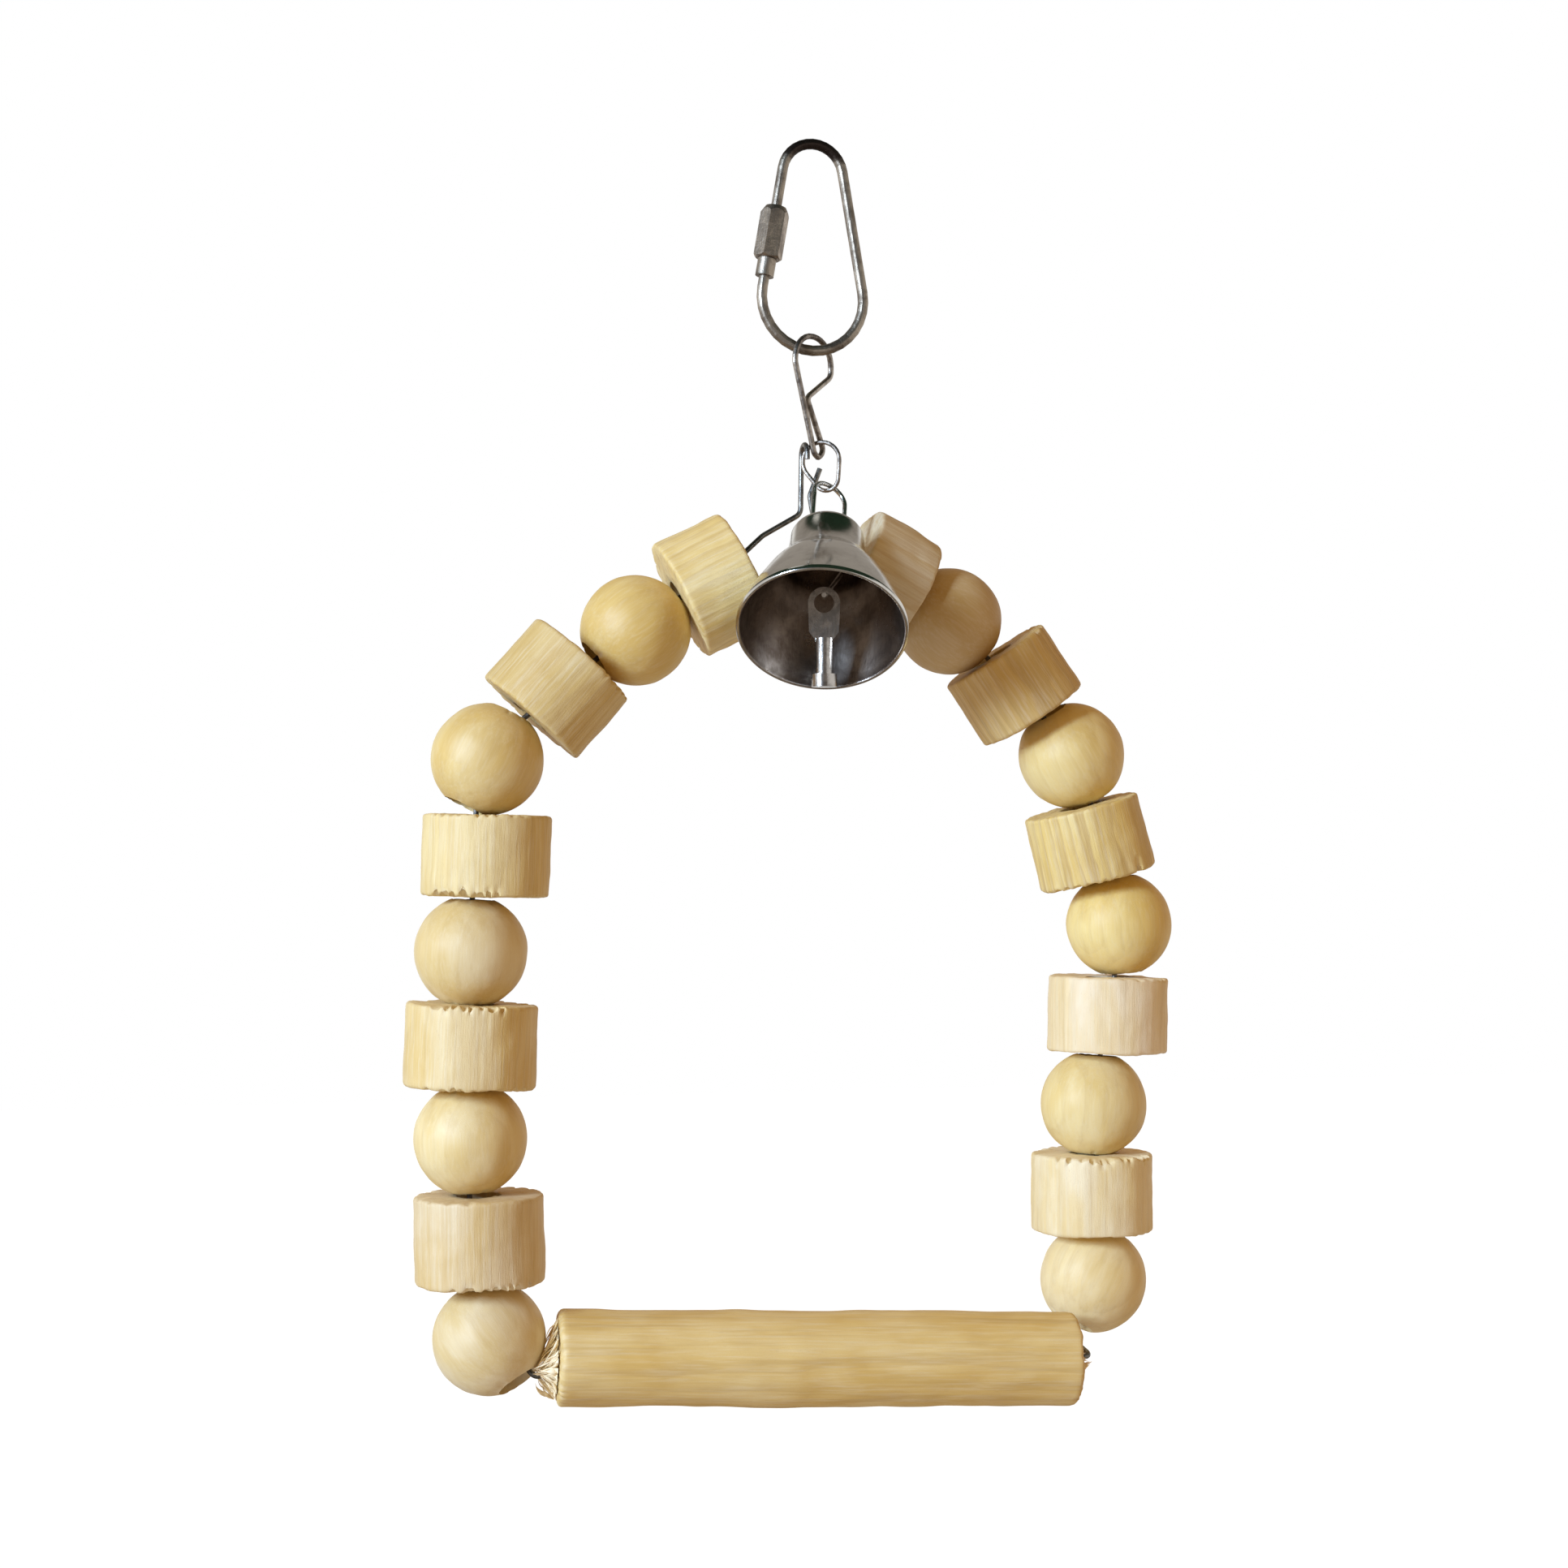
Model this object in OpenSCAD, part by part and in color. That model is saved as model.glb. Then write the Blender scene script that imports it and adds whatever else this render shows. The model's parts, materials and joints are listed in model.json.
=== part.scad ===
// Hanging swing for a cage bird: a wire arch strung with wooden balls and blocks,
// a wooden perch along the bottom, and a small bell, all hung from a screw link.
// Millimetres, +Z up, +X to the right seen from the front, the front faces -Y.
// The origin is the inside top of the screw link, where the cage bar or hook lies.

/* [Screw link] */
// Diameter of the link's wire
link_wire_d = 2.0; // [1.6:0.1:2.4]
// Radius of the narrow upper bend, at the middle of the wire
link_top_r = 5.9; // [5.4:0.1:7]
// Radius of the wide lower bend, at the middle of the wire
link_bottom_r = 9.9; // [9:0.1:12]
// Distance between the centres of the two bends
link_spread = 23.5; // [22:0.5:28]
// Width of the sleeve nut across its flats
nut_flats = 4.8; // [4:0.1:6]
// Length of the sleeve nut
nut_len = 10.0; // [9:0.5:10.5]
// Length of the thread that the closed nut covers at each end
thread_len = 2.6; // [2:0.1:3.2]
// Diameter of the fixed collar below the nut
collar_d = 3.5; // [3:0.1:4.4]
// Length of the fixed collar
collar_len = 3.3; // [2:0.1:3.4]
// Length of bare wire below the collar, down to the lower bend
bare_leg = 2.0; // [1.5:0.1:2.4]

/* [Chain] */
// Diameter of the upper chain link's wire
upper_wire_d = 1.1; // [0.8:0.1:1.2]
// Half width of the upper link's eye, at the middle of the wire
eye_half_w = 5.3; // [5.1:0.1:6]
// Rise of the upper link's eye over the screw link's wire
eye_rise = 2.7; // [2.6:0.1:3.4]
// Length of the upper link from the screw link's wire to its lower end
upper_reach = 19.9; // [18:0.1:24]
// Diameter of the lower chain link's wire
lower_wire_d = 0.8; // [0.6:0.1:1]
// Radius of the lower link's upper bend
lower_top_r = 3.6; // [3.4:0.1:4.2]
// Radius of the lower link's bottom bend
lower_bottom_r = 2.3; // [2:0.1:3]
// Distance between the centres of the lower link's bends
lower_spread = 3.5; // [3:0.1:6]
// Rise of the lower link's top over the upper link's lower end
lower_rise = 2.7; // [2.6:0.1:3]

/* [Arch wire] */
// Diameter of the arch wire
arch_wire_d = 1.0; // [0.8:0.1:1.1]
// Radius of the hook at the wire's left end
hook_r = 2.0; // [1.95:0.05:2.2]
// Radius of the wire's bends inside the beads
bead_bend_r = 4.0; // [2:0.5:5]
// Radius of the wire's sharp bends
tight_bend_r = 1.5; // [1.2:0.1:1.8]
// Height of the hook above the places where the wire leaves the highest blocks
hook_rise = 21.9; // [21:0.1:24]

/* [Beads] */
// Diameter of a wooden ball
ball_d = 20.5; // [19:0.5:21.5]
// Diameter of a wooden block
block_d = 23.2; // [20:0.2:24]
// Length of a wooden block
block_len = 15.2; // [13:0.2:17]
// Diameter of the hole through each bead
bead_bore = 8.0; // [7.6:0.1:8.6]
// How far the mouths of a block's hole are eased, where the balls sit
block_mouth = 1.8; // [1.2:0.1:2]
// Rounding of a block's edges
block_round = 0.7; // [0.3:0.1:1.2]

/* [Perch] */
// Length of the perch
perch_len = 96.6; // [94:0.2:99]
// Diameter of the perch
perch_d = 17.8; // [15:0.2:18.4]
// Diameter of the hole along the perch
perch_bore = 6.0; // [5.4:0.1:7]
// How far the mouths of the perch's hole are eased
perch_mouth_ease = 0.5; // [0.2:0.1:1]
// Rounding of the perch's edges
perch_round = 1.2; // [0.5:0.1:2]
// Distance that the perch's middle hangs in front of the screw link
perch_forward = 4.4; // [4:0.1:5]

/* [Bell] */
// Height of the bell
bell_h = 24.4; // [22:0.2:26]
// Radius of the bell's mouth
bell_mouth_r = 15.2; // [13:0.1:15.6]
// Radius of the bell's crown
bell_crown_r = 6.8; // [6.4:0.1:6.9]
// Thickness of the bell's wall
bell_wall = 0.7; // [0.5:0.1:1]
// Diameter of the bell's wire loop
loop_wire_d = 0.9; // [0.7:0.1:1.1]
// Half width of the wire loop, at the middle of the wire
loop_half_w = 3.5; // [3.3:0.1:4]
// Distance from the chain to the top of the bell's crown
bell_drop = 12.2; // [11.6:0.1:12.8]

/* [Clapper] */
// Length of the clapper below its pin
clapper_len = 16.4; // [14:0.1:17]
// Width of the clapper's flat tab
tab_w = 5.8; // [5:0.1:7]
// Height of the flat tab
tab_h = 7.6; // [7:0.1:9]
// Thickness of the flat tab
tab_t = 0.9; // [0.6:0.1:1.4]
// Diameter of the hole in the tab
tab_hole_d = 3.6; // [3:0.1:4]
// Diameter of the clapper's rod
rod_d = 3.2; // [2.6:0.1:3.6]
// Diameter of the striker at the rod's end
striker_d = 4.6; // [4:0.1:5]
// Length of the striker
striker_len = 2.3; // [1.6:0.1:3]

/* [Fits] */
// Gap between neighbouring beads
bead_gap = 0.3; // [0.2:0.05:0.6]
// Radial clearance of the sleeve nut on its thread
thread_gap = 0.05; // [0.03:0.01:0.1]
// Radial clearance of the bell's loop in the crown
loop_gap = 0.05; // [0.03:0.01:0.1]
// Clearance between a hanging ring and what it hangs on
hang_gap = 0.06; // [0.04:0.01:0.1]

/* [Hidden] */
PIECES = [
  "quick_link",
  "quick_link_nut",
  "upper_chain_link",
  "lower_chain_link",
  "arch_wire",
  "perch",
  "bell",
  "bell_loop",
  "clapper",
];
side_names = ["left", "right"];
beads_a_side = 5;
$fn = 48;

// One overrun serves every cut
overrun = 1;
// Sides of a wire, and the largest turn between two of its rings
wire_sides = 16;
bend_step = 12;
same_place = 0.001;

// Colours
steel = "lightslategray";
dark_steel = "dimgray";
nickel = "silver";
pine = "burlywood";
pale_pine = "wheat";

// Screw link
link_r = link_wire_d / 2;
link_lean = asin((link_bottom_r - link_top_r) / link_spread);
link_top_z = link_r - link_top_r;
link_bottom_z = link_top_z - link_spread;
leg_len = link_spread * cos(link_lean);
pin_z = link_bottom_z - link_bottom_r;
nut_r = nut_flats / 2;
stud_foot = leg_len - bare_leg - collar_len;
nut_foot = stud_foot - thread_gap;
nut_head = nut_foot - nut_len;
nut_foot_share = 0.94;
nut_head_share = 0.82;
nut_slope_shares = [1.2, 0.5];

// Upper chain link, in a plane turned about the vertical
upper_r = upper_wire_d / 2;
upper_turn = 34;
eye_bend_share = 0.94;
pinch_drop_share = 0.46;
pinch_out_share = 0.33;
shoulder_drop_shares = [0.21, 0.147];
shoulder_out_share = 0.95;
shoulder_bend_shares = [0.38, 0.5];
end_shift_share = 0.42;
end_width_share = 1.5;
end_bend_share = 0.98;
end_half_w = upper_wire_d * end_width_share;
end_bend_r = end_half_w * end_bend_share;
eye_bend_r = eye_half_w * eye_bend_share;
end_u = eye_half_w * end_shift_share;

// Lower chain link, turned the other way about the vertical. It leans because the
// hook of the arch wire pulls on one side of it and the bell hangs from its bottom
lower_r = lower_wire_d / 2;
lower_turn = -34;
upper_end_z = pin_z - upper_reach;
seat_shift_share = 0.88;
lower_x = end_u * cos(upper_turn) * seat_shift_share;
lower_top_z = upper_end_z + lower_rise - lower_top_r;
ring_lean = 18;
ring_drop = lower_spread + lower_bottom_r;
ring_bottom = [
  lower_x + ring_drop * sin(ring_lean) * cos(lower_turn),
  ring_drop * sin(ring_lean) * sin(lower_turn),
  lower_top_z - ring_drop * cos(ring_lean),
];

// Arch wire. The hook lies on the lower link's upper bend, at an angle from its right side
arch_r = arch_wire_d / 2;
hook_place = 157;
hook_u = lower_top_r * cos(hook_place);
hook_at = [
  lower_x + hook_u * cos(lower_turn),
  hook_u * sin(lower_turn),
  lower_top_z + lower_top_r * sin(hook_place),
];
hook_sag = hook_r - arch_r - lower_r / (sin(hook_place) * cos(lower_turn)) - hang_gap * 2;
hook_centre = hook_at - [0, 0, hook_sag];
hook_tip_share = 0.5;
hook_bend_share = 0.98;

// The wire's places behind the bell: across in hook radii, back as a share of the
// hook's own place, and down as a share of the hook's rise
left_rise_shares = [[-0.1, 1, 0.5], [-4, 0.6, 0.71]];
right_rise_shares = [[1.1, 1, 0.5], [0.8, 1, 0.34], [1.8, 1, 0.1]];

// Beads, counted from the perch upwards on each side
ball_r = ball_d / 2;
bore_r = bead_bore / 2;
seat = sqrt(ball_r * ball_r - bore_r * bore_r);
play = bore_r - arch_r - bead_gap;
inward = [1, -1];
exit_play_share = 0.6;
corner_play_share = 0.8;
bend_shift_share = 0.25;

// How far each side of the arch is turned out of the front plane, in degrees
splay = [-1.5, 1.8];

// How the wire leans inwards at each block, and how much further the block is
// tipped and turned on the wire, all in degrees
leans = [[-5.7, -0.1, 4.6, 48.4, 59], [-0.3, -9.1, 16.7, 45.1, 62]];
tips = [[5, 2.3, -3.2, -7.3, 3.6], [0.4, 7.7, -1.7, -10.9, 0]];
yaws = [[0, 0, 0, -6, -5], [0, 0, 0, -6, 0]];

// No two blocks are sawn alike: shares of the common gap, length and diameter, and how
// far each block is pushed across the wire as a share of its play
gap_shares = [[1.9, 1, 1, 1.65, 1.15], [1, 1, 1.2, 1.2, 1]];
len_shares = [[1.05, 1, 0.985, 0.97, 0.92], [1.02, 0.97, 0.96, 0.935, 0.9]];
dia_shares = [[1.015, 1.03, 1.015, 0.975, 1.01], [1.015, 1.005, 0.98, 0.957, 0.995]];
offset_shares = [[0.05, 0, -0.4, 0.45, 0], [-0.1, 0.1, -0.4, 0.3, 0]];

// The lowest ball on each side sits beyond the perch's end, in shares of the ball's radius
corner_shares = [[-1.16, 0.16, 0.37], [0.87, 1.16, 1.22]];
corner_tilt = [41, 30];
corner_heading = [-42, -165];
mouth_shares = [0, 1.35];
rest_inset_share = 1.5;

// Perch, a little lower at its right end and turned with that end to the front
perch_r = perch_d / 2;
perch_bore_r = perch_bore / 2;
perch_tilt = 2.0;
perch_yaw = 5.2;

// Bell, turned about the vertical, rolled to one side and tilted with its mouth forwards
bell_turn = -16;
bell_tilt = 39;
bell_roll = 3.0;
loop_r = loop_wire_d / 2;
loop_turn = 34;
loop_rise = lower_r + loop_r + hang_gap * 2;
lip_share = 0.8;
lip_r = bell_wall * lip_share;
crown_shoulder_share = 0.24;
crown_shoulder = bell_crown_r * crown_shoulder_share;
loop_bend_share = 0.9;
loop_foot_share = 0.13;
loop_turn_in_share = 0.72;
pin_ends_shares = [1.4, 2.2];
pin_bend_share = 0.7;
bell_steps = 14;
pin_share = 0.662;
clapper_drop = bell_drop + bell_h * pin_share;
skirt_shares = [0.33, 1.77, -1.1];

// Clapper
pin_r = loop_r;
hole_r = tab_hole_d / 2;
hole_drop = hole_r - pin_r - hang_gap;
tab_mid = -tab_h + tab_w / 4;
tab_waist_share = 0.93;
rod_sink = rod_d / 5;

function unit(v) = v / norm(v);
function turned(v, a) = [v.x * cos(a) - v.y * sin(a), v.x * sin(a) + v.y * cos(a), v.z];
function upright(u, z, a) = [u * cos(a), u * sin(a), z];

// Bead chain
function bead_gap_at(side, i) = bead_gap * gap_shares[side][i - 1];
function block_len_at(side, i) = block_len * len_shares[side][i - 1];
function block_r_at(side, i) = block_d * dia_shares[side][i - 1] / 2;
function chain_dir(side, i) =
  let (lean = leans[side][i - 1], out = splay[side])
  [inward[side] * sin(lean) * cos(out), inward[side] * sin(lean) * sin(out), cos(lean)];
function chain_normal(side, i) =
  let (lean = leans[side][i - 1], out = splay[side])
  [-inward[side] * cos(lean) * cos(out), -inward[side] * cos(lean) * sin(out), sin(lean)];
function offset_at(side, i) = play * offset_shares[side][i - 1];

// A ball sits less deep in the mouth of a block that is tipped or pushed off the wire
function block_swing(side, i) = norm(cross(block_dir(side, i), chain_dir(side, i)));
function mouth_reach(side, i) =
  bore_r + block_mouth - abs(offset_at(side, i)) - (seat + block_len_at(side, i) / 2) * block_swing(side, i);
function seat_at(side, i) = sqrt(pow(ball_r, 2) - pow(max(0, mouth_reach(side, i)), 2));
function half_pitch(side, i) =
  (seat_at(side, i) + bead_gap_at(side, i) + block_len_at(side, i) / 2)
  / sqrt(1 - pow(block_swing(side, i), 2));
function pitch(side, i) = 2 * half_pitch(side, i);
function climb(side, i) =
  i <= 1 ? [0, 0, 0] : climb(side, i - 1) + pitch(side, i - 1) * chain_dir(side, i - 1);
function chain_top(side) =
  climb(side, beads_a_side)
  + (half_pitch(side, beads_a_side) + block_len_at(side, beads_a_side) / 2) * chain_dir(side, beads_a_side);

perch_z = hook_at.z - hook_rise - chain_top(0).z - corner_shares[0].z * ball_r
  - perch_len / 2 * sin(perch_tilt);
perch_at = [0, -perch_forward, perch_z];
perch_dir = [cos(perch_tilt) * cos(perch_yaw), -cos(perch_tilt) * sin(perch_yaw), -sin(perch_tilt)];
perch_up = unit([0, 0, 1] - perch_dir * perch_dir.z);
function perch_end(side) = perch_at - inward[side] * perch_len / 2 * perch_dir;
function ball_at(side, i) = perch_end(side) + ball_r * corner_shares[side] + climb(side, i);
function block_on_wire(side, i) = ball_at(side, i) + half_pitch(side, i) * chain_dir(side, i);
function block_at(side, i) = block_on_wire(side, i) + offset_at(side, i) * chain_normal(side, i);
function block_dir(side, i) =
  let (lean = leans[side][i - 1] + tips[side][i - 1], out = splay[side] + yaws[side][i - 1])
  [inward[side] * sin(lean) * cos(out), inward[side] * sin(lean) * sin(out), cos(lean)];
function wire_exit(side) = ball_at(side, 1) + chain_top(side);

// The lowest balls are tipped so that the wire turns in towards the perch
function corner_dir(side) = [
  sin(corner_tilt[side]) * cos(corner_heading[side]),
  sin(corner_tilt[side]) * sin(corner_heading[side]),
  -cos(corner_tilt[side]),
];
function corner_side(side) = [
  cos(corner_tilt[side]) * cos(corner_heading[side]),
  cos(corner_tilt[side]) * sin(corner_heading[side]),
  sin(corner_tilt[side]),
];
function bead_dir(side, i) =
  i == 1 ? -corner_dir(side) : unit(chain_dir(side, i - 1) + chain_dir(side, i));

// Bent round wire. Each corner is a place and its bend radius; the ends of an open wire
// have none. The path through the corners is a list of places and directions.
function corner_way(corners, i) =
  let (n = len(corners))
  unit(corners[(i + 1) % n][0] - corners[(i + n) % n][0]);
function bend_path(corner, bend_r, way_in, way_out) =
  let (
    turn = acos(way_in * way_out),
    steps = ceil(turn / bend_step),
    side = unit(way_out - way_in * (way_in * way_out)),
    start = corner - way_in * bend_r * tan(turn / 2)
  )
  [for (k = [0 : steps])
    let (a = turn * k / steps)
    [start + bend_r * (way_in * sin(a) + side * (1 - cos(a))), way_in * cos(a) + side * sin(a)]];
function raw_path(corners, closed) = [
  for (i = [0 : len(corners) - 1])
    let (
      first = !closed && i == 0,
      last = !closed && i == len(corners) - 1,
      way_in = first ? corner_way(corners, 0) : corner_way(corners, i - 1 + len(corners)),
      way_out = last ? way_in : corner_way(corners, i)
    )
    each (
      first || last
        ? [[corners[i][0], way_in]]
        : bend_path(corners[i][0], corners[i][1], way_in, way_out)
    ),
];
function wire_path(corners, closed) =
  let (raw = raw_path(corners, closed))
  [for (i = [0 : len(raw) - 1]) if (i == 0 || norm(raw[i][0] - raw[i - 1][0]) > same_place) raw[i]];

// One normal for each place, carried along the path so that the tube never twists
function flattened(normal, way) = unit(normal - way * (way * normal));
function carried(path, normal) = [
  for (i = 0, n = normal; i < len(path); i = i + 1, n = flattened(n, path[min(i, len(path) - 1)][1])) n,
];

module bent_wire(corners, r, normal, closed = false) {
  path = wire_path(corners, closed);
  normals = carried(path, flattened(normal, path[0][1]));
  rings = len(path);
  sides = wire_sides;
  points = [
    for (i = [0 : rings - 1])
      let (across = cross(path[i][1], normals[i]))
      for (k = [0 : sides - 1])
        path[i][0] + r * (normals[i] * cos(360 * k / sides) + across * sin(360 * k / sides)),
  ];
  walls = [
    for (i = [0 : closed ? rings - 1 : rings - 2])
      for (k = [0 : sides - 1])
      let (
        a = i * sides + k,
        b = i * sides + (k + 1) % sides,
        c = ((i + 1) % rings) * sides + (k + 1) % sides,
        d = ((i + 1) % rings) * sides + k
      )
      each [[a, c, b], [a, d, c]],
  ];
  ends = closed ? [] : [
    [for (k = [0 : sides - 1]) k],
    [for (k = [sides - 1 : -1 : 0]) (rings - 1) * sides + k],
  ];
  polyhedron(points = points, faces = concat(walls, ends), convexity = 10);
}

// Corners of a pear-shaped loop in the XZ plane, the upper bend's centre at the origin
function pear_corners(top_r, bottom_r, spread) =
  let (
    lean = asin((bottom_r - top_r) / spread),
    top_x = top_r * tan(45 - lean / 2),
    bottom_x = bottom_r * tan(45 + lean / 2)
  )
  [
    [[-top_x, 0, top_r], top_r],
    [[top_x, 0, top_r], top_r],
    [[bottom_x, 0, -spread - bottom_r], bottom_r],
    [[-bottom_x, 0, -spread - bottom_r], bottom_r],
  ];

// Local -Z runs down the middle of the link's left leg
module in_leg() {
  translate([-link_top_r * cos(link_lean), 0, link_top_z + link_top_r * sin(link_lean)])
    rotate([0, link_lean, 0])
      children();
}

// A place in the link's left leg, a distance down from the end of the upper bend
function leg_place(down) = [
  -link_top_r * cos(link_lean) - down * sin(link_lean),
  0,
  link_top_z + link_top_r * sin(link_lean) - down * cos(link_lean),
];

module quick_link() {
  loop = [
    for (corner = pear_corners(link_top_r, link_bottom_r, link_spread))
      [corner[0] + [0, 0, link_top_z], corner[1]],
  ];
  color(steel) {
    bent_wire(concat(
      [[leg_place(nut_head + thread_len), 0]],
      loop,
      [[leg_place(stud_foot - thread_len), 0]]
    ), link_r, [0, 1, 0]);
    in_leg()
      translate([0, 0, bare_leg - leg_len])
        cylinder(h = collar_len, d = collar_d);
  }
}

module quick_link_nut() {
  corner_r = nut_r / cos(30);
  color(dark_steel)
    in_leg()
      translate([0, 0, -nut_foot])
        difference() {
          intersection() {
            cylinder(h = nut_len, r = corner_r, $fn = 6);
            rotate_extrude()
              polygon([
                [0, 0],
                [nut_r * nut_foot_share, 0],
                [corner_r, (corner_r - nut_r) * nut_slope_shares[0]],
                [corner_r, nut_len - corner_r * nut_slope_shares[1]],
                [nut_r * nut_head_share, nut_len],
                [0, nut_len],
              ]);
          }
          translate([0, 0, -overrun])
            cylinder(h = nut_len + 2 * overrun, r = link_r + thread_gap);
        }
}

module upper_chain_link() {
  function at(u, z) = upright(u, pin_z + z, upper_turn);
  color(steel)
    bent_wire([
      [at(eye_half_w, -upper_reach * shoulder_drop_shares[0]), eye_half_w * shoulder_bend_shares[0]],
      [at(eye_half_w, eye_rise), eye_bend_r],
      [at(-eye_half_w, eye_rise), eye_bend_r],
      [
        at(-eye_half_w * shoulder_out_share, -upper_reach * shoulder_drop_shares[1]),
        eye_half_w * shoulder_bend_shares[1],
      ],
      [at(end_u - end_half_w, -upper_reach), end_bend_r],
      [at(end_u + end_half_w, -upper_reach), end_bend_r],
      [at(-eye_half_w * pinch_out_share, -upper_reach * pinch_drop_share), upper_wire_d],
    ], upper_r, turned([0, 1, 0], upper_turn), closed = true);
}

module lower_chain_link() {
  loop = pear_corners(lower_top_r, lower_bottom_r, lower_spread);
  color(steel)
    translate([lower_x, 0, lower_top_z])
      rotate([0, -ring_lean, lower_turn])
        bent_wire(loop, lower_r, [0, 1, 0], closed = true);
}

// Corners of the arch wire, from the hook down the left side, through the perch
// and up the right side to the tip tucked in behind the chain
riser_y = hook_at.y + hook_r;
function high_exit(side) = wire_exit(side) + play * exit_play_share * chain_normal(side, beads_a_side);
function riser(shares) =
  [hook_at.x + hook_r * shares.x, riser_y * shares.y, hook_at.z - hook_rise * shares.z];
left_rise = [
  [hook_centre - [0, hook_r, hook_r * hook_tip_share], 0],
  [hook_centre + [0, -hook_r, hook_r], hook_r * hook_bend_share],
  [hook_centre + [0, hook_r, hook_r], hook_r * hook_bend_share],
  [riser(left_rise_shares[0]), hook_r],
  [riser(left_rise_shares[1]), bead_bend_r],
  [high_exit(0), bead_bend_r],
];
right_rise = [
  [high_exit(1), bead_bend_r],
  [riser(right_rise_shares[0]), tight_bend_r],
  [riser(right_rise_shares[1]), tight_bend_r],
  [riser(right_rise_shares[2]), 0],
];
function perch_mouth(side) = perch_end(side) - inward[side] * perch_dir * perch_bore_r * mouth_shares[side];

// The perch hangs by the top of its hole on the wire
function perch_rest(side) =
  perch_end(side) + inward[side] * perch_dir * perch_bore * rest_inset_share
  + perch_up * (perch_bore_r - arch_r - bead_gap);
function corner_in(side) =
  ball_at(side, 1) - corner_dir(side) * seat + corner_side(side) * play * corner_play_share;
function corner_out(side) =
  ball_at(side, 1) + corner_dir(side) * (ball_r + arch_wire_d + bead_gap) + corner_side(side) * play;
function corner_shift(side, i) = (chain_dir(side, i - 1) - chain_dir(side, i)) * seat * bend_shift_share;
function bead_corners(side) =
  [for (i = [2 : beads_a_side]) [ball_at(side, i) + corner_shift(side, i), bead_bend_r]];
function down(list) = [for (i = [len(list) - 1 : -1 : 0]) list[i]];
arch_corners = concat(
  left_rise,
  down(bead_corners(0)),
  [
    [corner_in(0), bead_bend_r],
    [corner_out(0), tight_bend_r],
    [perch_mouth(0), bead_bend_r],
    [perch_rest(0), bead_bend_r],
    [perch_rest(1), bead_bend_r],
    [perch_mouth(1), tight_bend_r],
    [corner_out(1), bead_bend_r],
    [corner_in(1), bead_bend_r],
  ],
  bead_corners(1),
  right_rise
);

module arch_wire() {
  color(dark_steel)
    bent_wire(arch_corners, arch_r, [1, 0, 0]);
}

// Stands a shape with its axis along Z on a place and a direction
module on_axis(at, dir) {
  translate(at)
    rotate([0, acos(dir.z), atan2(dir.y, dir.x)])
      children();
}

// Half outline of a drilled rod with rounded edges and eased mouths
function rod_outline(r, len, edge, hole_r, mouth) = concat(
  [[hole_r, mouth - len / 2], [hole_r + mouth, -len / 2]],
  [for (a = [-90 : 15 : 0]) [r - edge + edge * cos(a), edge - len / 2 + edge * sin(a)]],
  [for (a = [0 : 15 : 90]) [r - edge + edge * cos(a), len / 2 - edge + edge * sin(a)]],
  [[hole_r + mouth, len / 2], [hole_r, len / 2 - mouth]]
);

module drilled_rod(r, len, edge, hole_r, mouth) {
  rotate_extrude()
    polygon(rod_outline(r, len, edge, hole_r, mouth));
}

module ball(side, i) {
  color(pine)
    on_axis(ball_at(side, i), bead_dir(side, i))
      difference() {
        sphere(r = ball_r);
        cylinder(h = ball_d + 2 * overrun, r = bore_r, center = true);
      }
}

module block(side, i) {
  color(pale_pine)
    on_axis(block_at(side, i), block_dir(side, i))
      drilled_rod(block_r_at(side, i), block_len_at(side, i), block_round, bore_r, block_mouth);
}

module perch() {
  color(pine)
    on_axis(perch_at, perch_dir)
      drilled_rod(perch_r, perch_len, perch_round, perch_bore_r, perch_mouth_ease);
}

// The bell hangs from the bottom of the lower link, facing -Y before it is turned
module in_bell() {
  translate(ring_bottom)
    rotate([0, bell_roll, bell_turn])
      rotate([-bell_tilt, 0, 0])
        children();
}

// Radius of the bell's outside a share of the way down its skirt
function skirt_rise(share) =
  share * (skirt_shares[0] + share * (skirt_shares[1] + share * skirt_shares[2]));
function skirt_r(share) = bell_crown_r + (bell_mouth_r - bell_crown_r) * skirt_rise(share);
function bell_outline(inset) = concat(
  [[0, -inset]],
  [for (a = [90 : -15 : 15]) [
    bell_crown_r - crown_shoulder + (crown_shoulder - inset) * cos(a),
    -crown_shoulder + (crown_shoulder - inset) * sin(a),
  ]],
  [for (k = [0 : bell_steps]) [
    skirt_r(k / bell_steps) - inset,
    -crown_shoulder - (bell_h - crown_shoulder) * k / bell_steps,
  ]]
);

module bell() {
  color(nickel)
    in_bell()
      translate([0, 0, -bell_drop])
        difference() {
          union() {
            rotate_extrude()
              polygon(concat(bell_outline(0), down(bell_outline(bell_wall))));
            translate([0, 0, -bell_h])
              rotate_extrude()
                translate([bell_mouth_r - lip_r / 2, 0])
                  circle(r = lip_r);
          }
          rotate([0, 0, loop_turn])
            for (side = [-1, 1])
              translate([side * loop_half_w, 0, -bell_wall - overrun])
                cylinder(h = bell_wall + 2 * overrun, r = loop_r + loop_gap);
        }
}

// A horizontal direction towards the front, seen from the tilted bell
front_in_bell = [0, -cos(bell_tilt), -sin(bell_tilt)];
loop_leg = turned([loop_half_w, 0, 0], loop_turn);

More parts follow.
